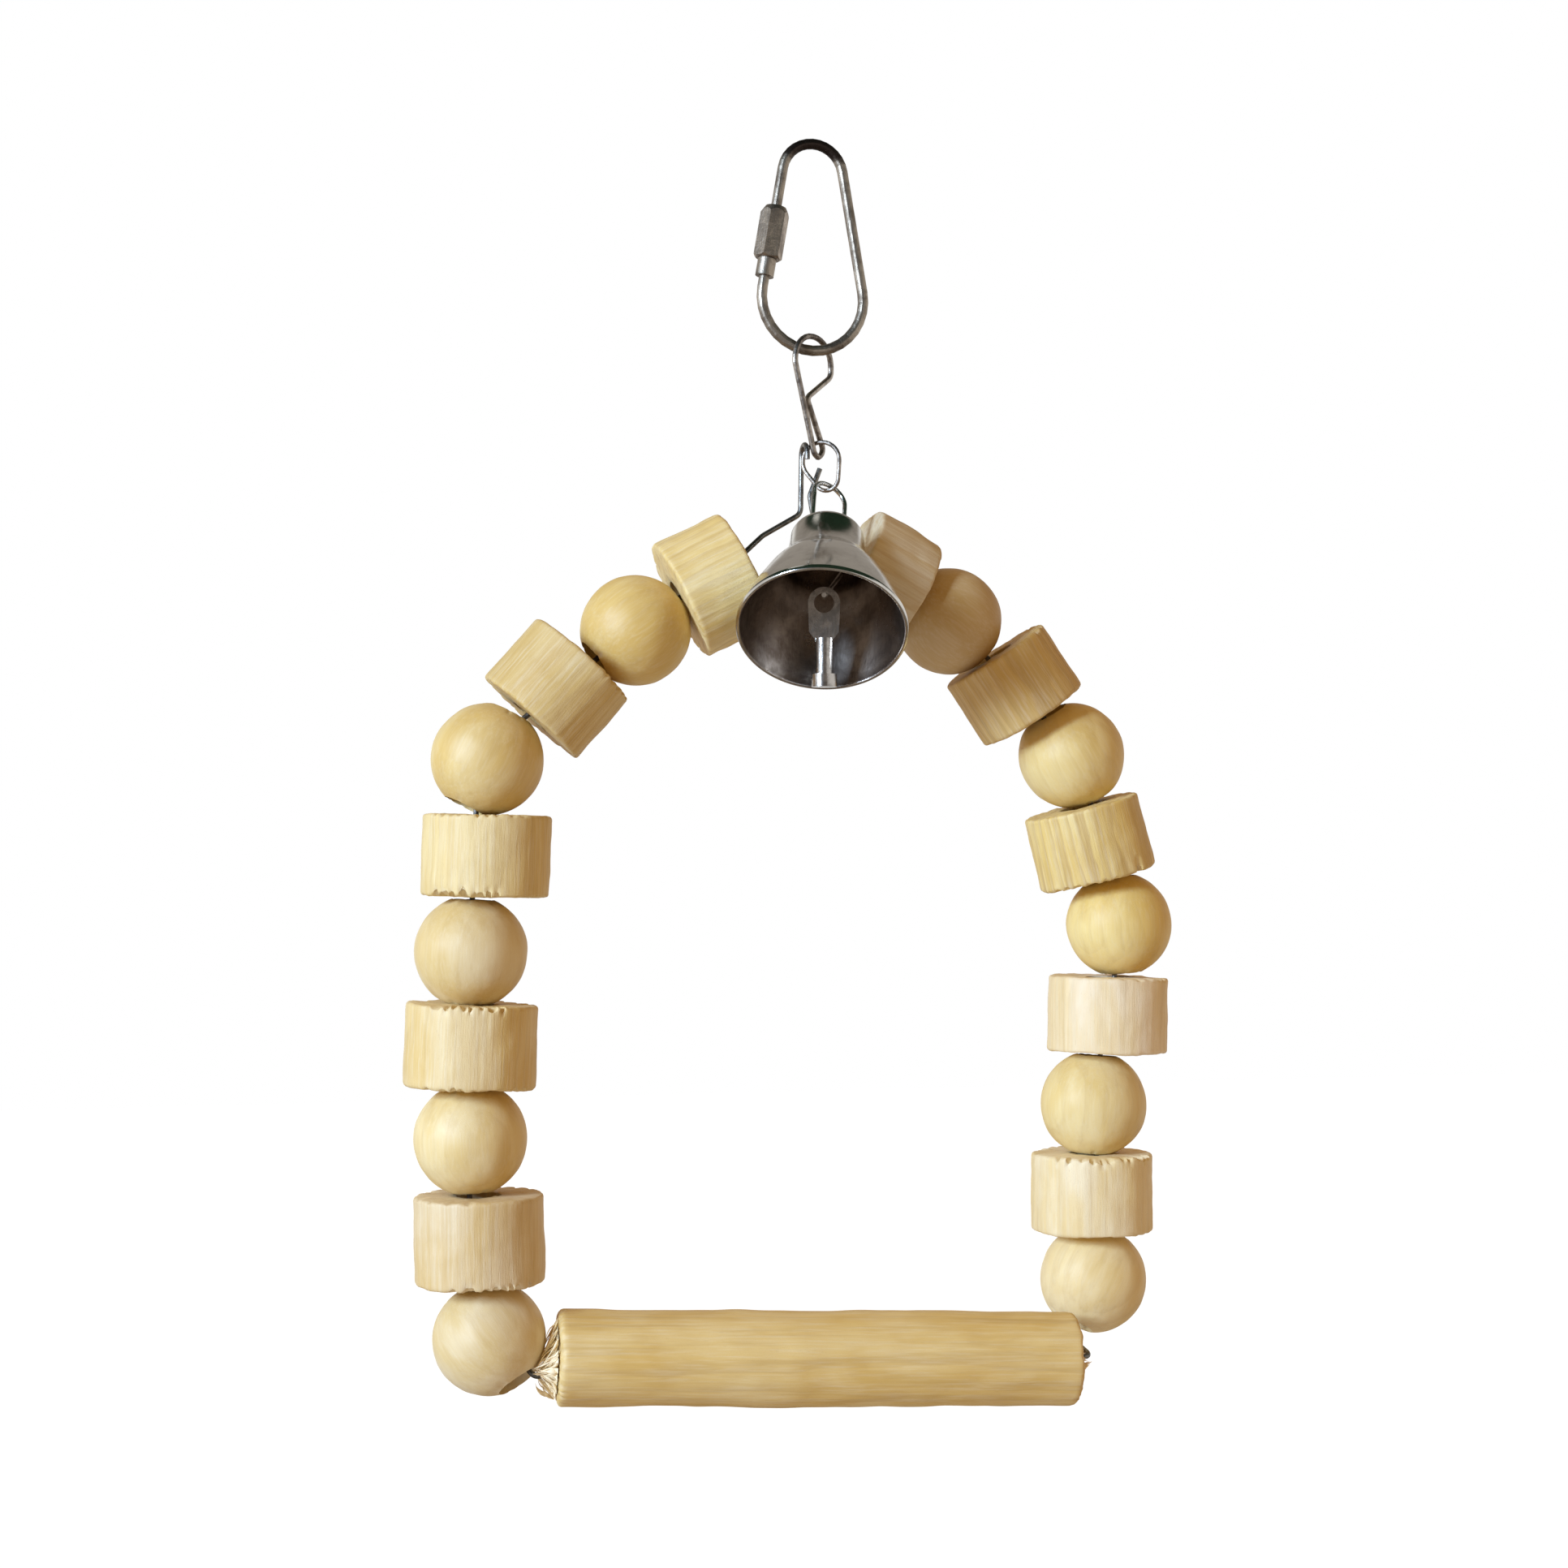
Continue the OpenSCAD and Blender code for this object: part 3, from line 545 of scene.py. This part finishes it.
def addBlock(nodeName, look, shape):
    chance = random.Random(nodeName)
    placed = pieceFrame(nodeName)
    length, radius, bore = measured(nodeName, placed)
    trimmed = length - look.get("trim", shape["trim"]) * mm
    piece = drilledRod(nodeName + "_wood", trimmed, radius - shape["narrower"], bore,
                       shape["sides"], shape["rows"], shape["easing"])
    half = length / 2
    shift = tuple(chance.uniform(-1, 1) for i in range(3))
    relief(piece, 9 * mm, 0.7 * mm, shift)
    relief(piece, 1.6 * mm, 0.15 * mm, shift, (1, 1, 9))
    addWeights(piece, "ends", endWeigher(half, shape["endShare"]))
    relief(piece, 2.2 * mm, 0.3 * mm, shift, (1, 1, 4), "ends", "Z")
    gouges = gougesFor(chance, look["torn"])
    notch(piece, radius, half, gouges, shape["notchDepth"])
    torn = addWeights(piece, "gouges", tornWeigher(radius, half, gouges))
    sink(piece, "gouges", shape["gougeDepth"])
    markTorn(piece, torn)
    bpy.ops.object.shade_smooth_by_angle(angle=math.radians(38))
    pithAngle = chance.uniform(0, 2 * math.pi)
    pithAway = chance.uniform(*shape["pithAway"])
    finish = woodFinish(nodeName + "_pine", placed, {
        **woodBase, **{k: look[k] for k in ("tone", "ring", "streak")}, "seed": chance.uniform(0, 40),
        "pith": (pithAway * math.cos(pithAngle), pithAway * math.sin(pithAngle), 0)})
    wear(piece, finish)
    setDown(piece, placed, nodeName, "block_wood", nodeName)


for nodeName, look in blockLooks.items():
    addBlock(nodeName, look, blockShape)
print("blocks done")


ballTones = {
    "left_ball_1": (0.74, 0.64, 0.39), "left_ball_2": (0.77, 0.64, 0.32), "left_ball_3": (0.73, 0.61, 0.33),
    "left_ball_4": (0.7, 0.55, 0.23), "left_ball_5": (0.7, 0.54, 0.2), "right_ball_1": (0.83, 0.71, 0.38),
    "right_ball_2": (0.81, 0.69, 0.34), "right_ball_3": (0.81, 0.66, 0.26),
    "right_ball_4": (0.77, 0.63, 0.27), "right_ball_5": (0.54, 0.41, 0.2),
}
ballShape = {
    "segments": 128, "rings": 72, "easing": 0.5 * mm, "narrower": 0.08 * mm, "gougeDepth": 0.5 * mm,
    "gouges": 9, "gougeWidth": 0.6 * mm, "gougeLength": 0.9 * mm, "pithAway": 16,
}


def addBall(nodeName, tone, shape):
    chance = random.Random(nodeName)
    placed = pieceFrame(nodeName)
    length, radius, bore = measured(nodeName, placed)
    deselect()
    turned = radius - shape["narrower"]
    bpy.ops.mesh.primitive_uv_sphere_add(segments=shape["segments"], ring_count=shape["rings"], radius=turned)
    piece = named(nodeName + "_wood")
    seat = math.sqrt(turned ** 2 - bore ** 2)
    editMode()
    bpy.ops.mesh.select_all(action="SELECT")
    bpy.ops.mesh.bisect(plane_co=(0, 0, seat), plane_no=(0, 0, 1), clear_outer=True)
    bpy.ops.mesh.select_all(action="SELECT")
    bpy.ops.mesh.bisect(plane_co=(0, 0, -seat), plane_no=(0, 0, 1), clear_inner=True)
    selectEdges(piece, lambda edge: edge.is_boundary)
    bpy.ops.mesh.bridge_edge_loops()
    selectEdges(piece, lambda edge: all(abs(abs(v.co.z) - seat) < 1e-6 for v in edge.verts))
    bpy.ops.mesh.bevel(offset=shape["easing"], segments=2, affect="EDGES")
    selectEdges(piece, lambda edge: rise(edge) > seat)
    bpy.ops.mesh.subdivide_edgering(number_cuts=8, interpolation="LINEAR")
    bpy.ops.mesh.select_all(action="SELECT")
    bpy.ops.mesh.normals_make_consistent(inside=False)
    objectMode()
    shift = tuple(chance.uniform(-1, 1) for i in range(3))
    relief(piece, 7 * mm, 0.35 * mm, shift)
    relief(piece, 1.4 * mm, 0.06 * mm, shift, (1, 1, 5))
    torn = addWeights(piece, "gouges", tornWeigher(bore * 1.1, seat, [
        (end, math.radians(chance.uniform(-180, 180)), shape["gougeWidth"], shape["gougeLength"],
         chance.uniform(0.2, 0.5)) for end in (1, -1) for i in range(shape["gouges"])]))
    sink(piece, "gouges", shape["gougeDepth"])
    markTorn(piece, torn)
    bpy.ops.object.shade_smooth_by_angle(angle=math.radians(40))
    pithAngle = chance.uniform(0, 2 * math.pi)
    finish = woodFinish(nodeName + "_pine", placed, {
        **woodBase, "tone": tone, "ring": 0.12, "streak": 0.2, "fibre": 0.14, "pore": 0.12, "bump": 0.18,
        "roughness": 0.5, "ringWidth": 3.4, "wobble": 9, "seed": chance.uniform(0, 40),
        "pith": (shape["pithAway"] * math.cos(pithAngle), shape["pithAway"] * math.sin(pithAngle), 0)})
    wear(piece, finish)
    setDown(piece, placed, nodeName, "ball_wood", nodeName)


for nodeName, tone in ballTones.items():
    addBall(nodeName, tone, ballShape)
print("balls done")


# the perch is a rough dowel: wavy outline, bulged right end, fibres torn out on the left
perchLook = {
    "sides": 160, "rows": 150, "easing": 0.9 * mm, "trim": 0.3 * mm, "narrower": 0.3 * mm, "endShare": 0.96,
    "bulge": 0.8 * mm, "gougeDepth": 0.9 * mm, "tone": (0.73, 0.56, 0.22), "ring": 0.26, "streak": 0.45,
    "torn": [(-1, -180, 180, 30, 1.8, 0.7), (1, -180, 180, 14, 1.5, 0.6)],
}


def addPerch(look):
    chance = random.Random(7)
    placed = pieceFrame("perch")
    length, radius, bore = measured("perch", placed)
    piece = drilledRod("perch_wood", length - look["trim"], radius - look["narrower"], bore,
                       look["sides"], look["rows"], look["easing"])
    half = length / 2
    relief(piece, 12 * mm, 1.1 * mm, (0.3, 0.1, 0.2), (1, 1, 1.6))
    relief(piece, 1.8 * mm, 0.14 * mm, shares=(1, 1, 9))
    addWeights(piece, "ends", endWeigher(half, look["endShare"]))
    relief(piece, 3 * mm, 0.9 * mm, shares=(1, 1, 4), group="ends", direction="Z")
    inner = lambda spot: max(0, 1 - (spot.x ** 2 + spot.y ** 2) / radius ** 2)
    addWeights(piece, "bulge", lambda spot: inner(spot) if spot.z > half * 0.9 else 0)
    sink(piece, "bulge", -look["bulge"], "Z")
    torn = addWeights(piece, "gouges", tornWeigher(radius, half, gougesFor(chance, look["torn"])))
    sink(piece, "gouges", look["gougeDepth"])
    markTorn(piece, torn)
    bpy.ops.object.shade_smooth_by_angle(angle=math.radians(38))
    wear(piece, woodFinish("perch_pine", placed, {
        **woodBase, **{k: look[k] for k in ("tone", "ring", "streak")}, "seed": 11, "pith": (9, 15, 0),
        "ringWidth": 3.1, "fibre": 0.2, "pore": 0.2, "bump": 0.24, "streakFrom": 0.47}))
    setDown(piece, placed, "perch", "perch_wood", "perch")


addPerch(perchLook)

fibreLook = {"thickness": 0.5, "stray": 0.55, "clear": 0.25 * mm, "tone": (0.95, 0.84, 0.55), "tufts": [
    {"end": -1, "count": 170, "from": -190, "to": 20, "spread": 0.72, "meet": (1.4, -5.2, -4)},
    {"end": 1, "count": 40, "from": -170, "to": 60, "spread": 0.3, "meet": (0.2, -2.6, 2)},
]}


def addStrand(chance, root, tip, thick, turn):
    deselect()
    bpy.ops.mesh.primitive_cone_add(vertices=8, radius1=thick, radius2=0.04 * mm, depth=1, location=(0, 0, 0))
    strand = named("strand")
    editMode()
    selectEdges(strand, lambda edge: rise(edge) > 0.5)
    bpy.ops.mesh.subdivide_edgering(number_cuts=7, interpolation="LINEAR")
    objectMode()
    bend = Vector([chance.uniform(-1, 1) for axis in range(3)]) * (tip - root).length * 0.16
    for vertex in strand.data.vertices:
        share = vertex.co.z + 0.5
        flat = Vector((vertex.co.x, vertex.co.y * 0.6, 0)) * (1 + 0.4 * math.sin(share * 8 + turn))
        vertex.co = root.lerp(tip, share) + flat + bend * math.sin(share * math.pi)
    return strand


# splinters torn out round the hole at each end of the perch, caught on the wire there
def addFibres(look):
    chance = random.Random(21)
    placed = pieceFrame("perch")
    length, radius, bore = measured("perch", placed)
    made = []
    for tuft in look["tufts"]:
        endFace = tuft["end"] * (length / 2 + look["clear"])
        meet = Vector(tuft["meet"]) * mm + Vector((0, 0, endFace))
        for i in range(tuft["count"]):
            angle = math.radians(chance.uniform(tuft["from"], tuft["to"]))
            out = bore + (radius - bore) * chance.uniform(-0.2, tuft["spread"])
            root = Vector((out * math.cos(angle), out * math.sin(angle), endFace))
            tip = root.lerp(meet, chance.uniform(0.25, 1))
            tip += Vector([chance.uniform(-look["stray"], look["stray"]) * mm for axis in range(3)])
            made.append(addStrand(chance, root, tip, look["thickness"] * chance.uniform(0.4, 1.3) * mm, i))
    deselect()
    for strand in made:
        strand.select_set(True)
    bpy.context.view_layer.objects.active = made[0]
    bpy.ops.object.join()
    piece = named("torn_splinters")
    editMode()
    bpy.ops.mesh.select_all(action="SELECT")
    bpy.ops.mesh.normals_make_consistent(inside=False)
    objectMode()
    bpy.ops.object.shade_smooth_by_angle(angle=math.radians(50))
    wear(piece, woodFinish("splinter_pine", placed, {
        **woodBase, "tone": look["tone"], "ring": 0.1, "streak": 0.3, "seed": 5, "pith": (9, 15, 0)}))
    setDown(piece, placed, "arch", "perch_wood")


addFibres(fibreLook)
print("perch done")


# the bell: share of its height, and share of the way from the crown's radius to the mouth's
bellLook = {
    "crown": 6.8, "wall": 0.7, "lip": 0.42, "lipTall": 0.68, "sides": 160, "flatShare": 0.76,
    "flare": [(0.07, 0.01), (0.14, 0.03), (0.21, 0.062), (0.28, 0.11), (0.33, 0.165), (0.36, 0.22),
              (0.4, 0.295), (0.45, 0.397), (0.5, 0.475), (0.56, 0.553), (0.62, 0.624), (0.68, 0.697),
              (0.74, 0.767), (0.81, 0.838), (0.88, 0.903), (0.95, 0.962), (1, 1)],
}


def addBell(look):
    hangs, strikes = Vector(spins["bell"]["pos_m"]), Vector(spins["clapper"]["pos_m"])
    placed = frameAlong(hangs, hangs - strikes)
    inverse = placed.inverted()
    spots = [inverse @ vertex.co for vertex in nodes["bell"].data.vertices]
    top, mouth = max(spot.z for spot in spots), max(math.hypot(spot.x, spot.y) for spot in spots)
    lip, lipTall = look["lip"] * mm, look["lipTall"] * mm
    height = top - min(spot.z for spot in spots) - lipTall
    crown, wall = look["crown"] * mm, look["wall"] * mm
    skirt = mouth - lip / 2
    easing = crown * (1 - look["flatShare"])
    shoulder = [math.radians(degrees) for degrees in range(15, 91, 15)]
    outer = [(crown - easing + easing * math.sin(a), easing * (math.cos(a) - 1)) for a in shoulder]
    for down, out in look["flare"]:
        outer.append((crown + (skirt - crown) * out, -easing - (height - easing) * down))
    rolled = [math.radians(degrees) for degrees in range(20, -200, -20)]
    lipRound = [(skirt - lip / 2 + lip * math.cos(a), -height + lipTall * math.sin(a)) for a in rolled]
    inner = [(max(reachAt - wall, 0.2 * mm), min(z, -wall)) for reachAt, z in reversed(outer[:-1])]
    deselect()
    start = crown - easing
    bpy.ops.mesh.primitive_circle_add(vertices=look["sides"], radius=start, fill_type="NGON")
    piece = named("bell_shell")
    editMode()
    selectEdges(piece, lambda edge: edge.is_boundary)
    span, level = start, 0
    for nextSpan, nextLevel in outer + lipRound + inner:
        bpy.ops.mesh.extrude_region_move(TRANSFORM_OT_translate={"value": (0, 0, nextLevel - level)})
        bpy.ops.transform.resize(value=(nextSpan / span, nextSpan / span, 1), center_override=(0, 0, 0))
        span, level = nextSpan, nextLevel
    bpy.ops.mesh.edge_face_add()
    bpy.ops.mesh.select_all(action="SELECT")
    bpy.ops.transform.translate(value=(0, 0, top))
    bpy.ops.mesh.normals_make_consistent(inside=False)
    objectMode()
    # inside faces and the crown's ceiling take the darker copy of the nickel, which paints the shade in the
    # bell's hollow
    wear(piece, steels["bellNickel"], steels["bellInsidePaintedShade"])
    editMode()
    facesIn = lambda normal, middle: normal.x * middle.x + normal.y * middle.y < 0
    ceiling = lambda normal, middle: normal.z < -0.9 and middle.z > top - 2 * mm
    selectFaces(piece, lambda face: facesIn(face.normal, face.calc_center_median())
                or ceiling(face.normal, face.calc_center_median()))
    piece.active_material_index = 1
    bpy.ops.object.material_slot_assign()
    objectMode()
    bpy.ops.object.shade_smooth_by_angle(angle=math.radians(50))
    setDown(piece, placed, "bell", "bell_nickel", "bell")


addBell(bellLook)
print("bell done")


# stage: a pale floor well below the hanging swing, one soft lamp from the left, and the room
stageLook = {"floorDrop": 0.75, "floorReach": 12, "floorTone": 0.8, "glow": 1.2, "glowShare": 0.85}


def addStage(look):
    deselect()
    bpy.ops.mesh.primitive_plane_add(size=look["floorReach"], location=(0, 0, -look["floorDrop"]))
    floor = named("floor")
    floor.visible_glossy = False
    finish, tree, shader = newFinish("paleFloor")
    tree.nodes.remove(shader)
    output = tree.nodes["Material Output"]
    diffuse = tree.nodes.new("ShaderNodeBsdfDiffuse")
    diffuse.inputs["Color"].default_value = (*(look["floorTone"],) * 3, 1)
    glow = tree.nodes.new("ShaderNodeEmission")
    glow.inputs["Strength"].default_value = look["glow"]
    seen = tree.nodes.new("ShaderNodeLightPath")
    mix = tree.nodes.new("ShaderNodeMixShader")
    share = scaled(tree, seen.outputs["Is Camera Ray"], look["glowShare"])
    tree.links.new(share, mix.inputs[0])
    tree.links.new(diffuse.outputs[0], mix.inputs[1])
    tree.links.new(glow.outputs[0], mix.inputs[2])
    tree.links.new(mix.outputs[0], output.inputs["Surface"])
    wear(floor, finish)


def addLamp(name, look):
    lampData = bpy.data.lights.new(name, "AREA")
    lampData.shape = "RECTANGLE"
    lampData.size, lampData.size_y = look["size"]
    lampData.energy = look["energy"]
    lampData.color = look["colour"]
    lamp = bpy.data.objects.new(name, lampData)
    scene.collection.objects.link(lamp)
    lamp.location = look["place"]
    lamp.rotation_euler = (Vector(look["place"]) - Vector(look["target"])).to_track_quat("Z", "Y").to_euler()


# the room as the metal sees it: bright round about, dark at the front and low down,
# dark green overhead, with one small bright lamp that draws a line on the bell's crown
def addRoom(look):
    world = bpy.data.worlds.new("studioRoom")
    scene.world = world
    world.use_nodes = True
    tree = world.node_tree
    tree.nodes.clear()
    output = tree.nodes.new("ShaderNodeOutputWorld")
    seen = tree.nodes.new("ShaderNodeLightPath")
    way = tree.nodes.new("ShaderNodeSeparateXYZ")
    turned = tree.nodes.new("ShaderNodeVectorRotate")
    turned.rotation_type = "Z_AXIS"
    turned.inputs["Angle"].default_value = math.radians(-viewLook["azimuth"])
    tree.links.new(tree.nodes.new("ShaderNodeTexCoord").outputs["Generated"], turned.inputs["Vector"])
    ray = turned.outputs["Vector"]
    tree.links.new(ray, way.inputs[0])
    x, y, z = way.outputs
    aside = mathNode(tree, "ABSOLUTE", x)
    bright = mathNode(tree, "MAXIMUM", blotchRamp(tree, aside, 0.3, 0.75), blotchRamp(tree, y, -0.1, 0.25))
    room = mixColours(tree, bright, look["front"], look["around"])
    low = blotchRamp(tree, mathNode(tree, "MULTIPLY", z, -1), 0.15, 0.6)
    room = mixColours(tree, low, room, look["low"])
    band = mathNode(tree, "MULTIPLY", blotchRamp(tree, y, 0.2, 0.36), blotchRamp(tree, z, 0.3, 0.46))
    room = mixColours(tree, band, room, look["back"])
    over = mathNode(tree, "MULTIPLY_ADD", aside, 0.1, mathNode(tree, "MULTIPLY", y, -1))
    high = mathNode(tree, "MULTIPLY", blotchRamp(tree, z, 0.2, 0.32), blotchRamp(tree, over, -0.46, -0.36))
    high = scaled(tree, high, blotchRamp(tree, scaled(tree, aside, -1), -0.9, -0.8))
    room = mixColours(tree, high, room, look["overhead"])
    spot = tree.nodes.new("ShaderNodeVectorMath")
    spot.operation = "DOT_PRODUCT"
    tree.links.new(ray, spot.inputs[0])
    spot.inputs[1].default_value = Vector(look["lampWay"]).normalized()
    room = mixColours(tree, blotchRamp(tree, spot.outputs["Value"], 0.988, 0.996), room, look["lamp"])
    shine = tree.nodes.new("ShaderNodeBackground")
    tree.links.new(room, shine.inputs["Color"])
    fill = tree.nodes.new("ShaderNodeBackground")
    above = mixColours(tree, blotchRamp(tree, z, 0.1, 0.9), look["fill"], look["fillAbove"])
    tree.links.new(above, fill.inputs["Color"])
    white = tree.nodes.new("ShaderNodeBackground")
    white.inputs["Color"].default_value = (1, 1, 1, 1)
    glossyMix = tree.nodes.new("ShaderNodeMixShader")
    tree.links.new(seen.outputs["Is Glossy Ray"], glossyMix.inputs[0])
    tree.links.new(fill.outputs[0], glossyMix.inputs[1])
    tree.links.new(shine.outputs[0], glossyMix.inputs[2])
    cameraMix = tree.nodes.new("ShaderNodeMixShader")
    direct = mathNode(tree, "MAXIMUM", seen.outputs["Is Camera Ray"], seen.outputs["Is Transmission Ray"])
    tree.links.new(direct, cameraMix.inputs[0])
    tree.links.new(glossyMix.outputs[0], cameraMix.inputs[1])
    tree.links.new(white.outputs[0], cameraMix.inputs[2])
    tree.links.new(cameraMix.outputs[0], output.inputs["Surface"])


roomLook = {
    "front": (0.24, 0.205, 0.175), "around": (0.92, 0.91, 0.89), "low": (0.19, 0.16, 0.135),
    "back": (0.36, 0.33, 0.295), "overhead": (0.012, 0.03, 0.018),
    "lamp": (0.7, 0.7, 0.66), "lampWay": (-0.36, 0.14, 0.92),
    "fill": (0.38, 0.205, 0.062), "fillAbove": (0.54, 0.36, 0.17),
}
lampLook = {
    "place": (-1.02, -0.6, 0.2), "target": (0, 0, -0.13), "size": (0.3, 0.34),
    "energy": 19.5, "colour": (0.57, 0.75, 1),
}

addStage(stageLook)
addRoom(roomLook)
addLamp("keyLamp", lampLook)
print("stage done")
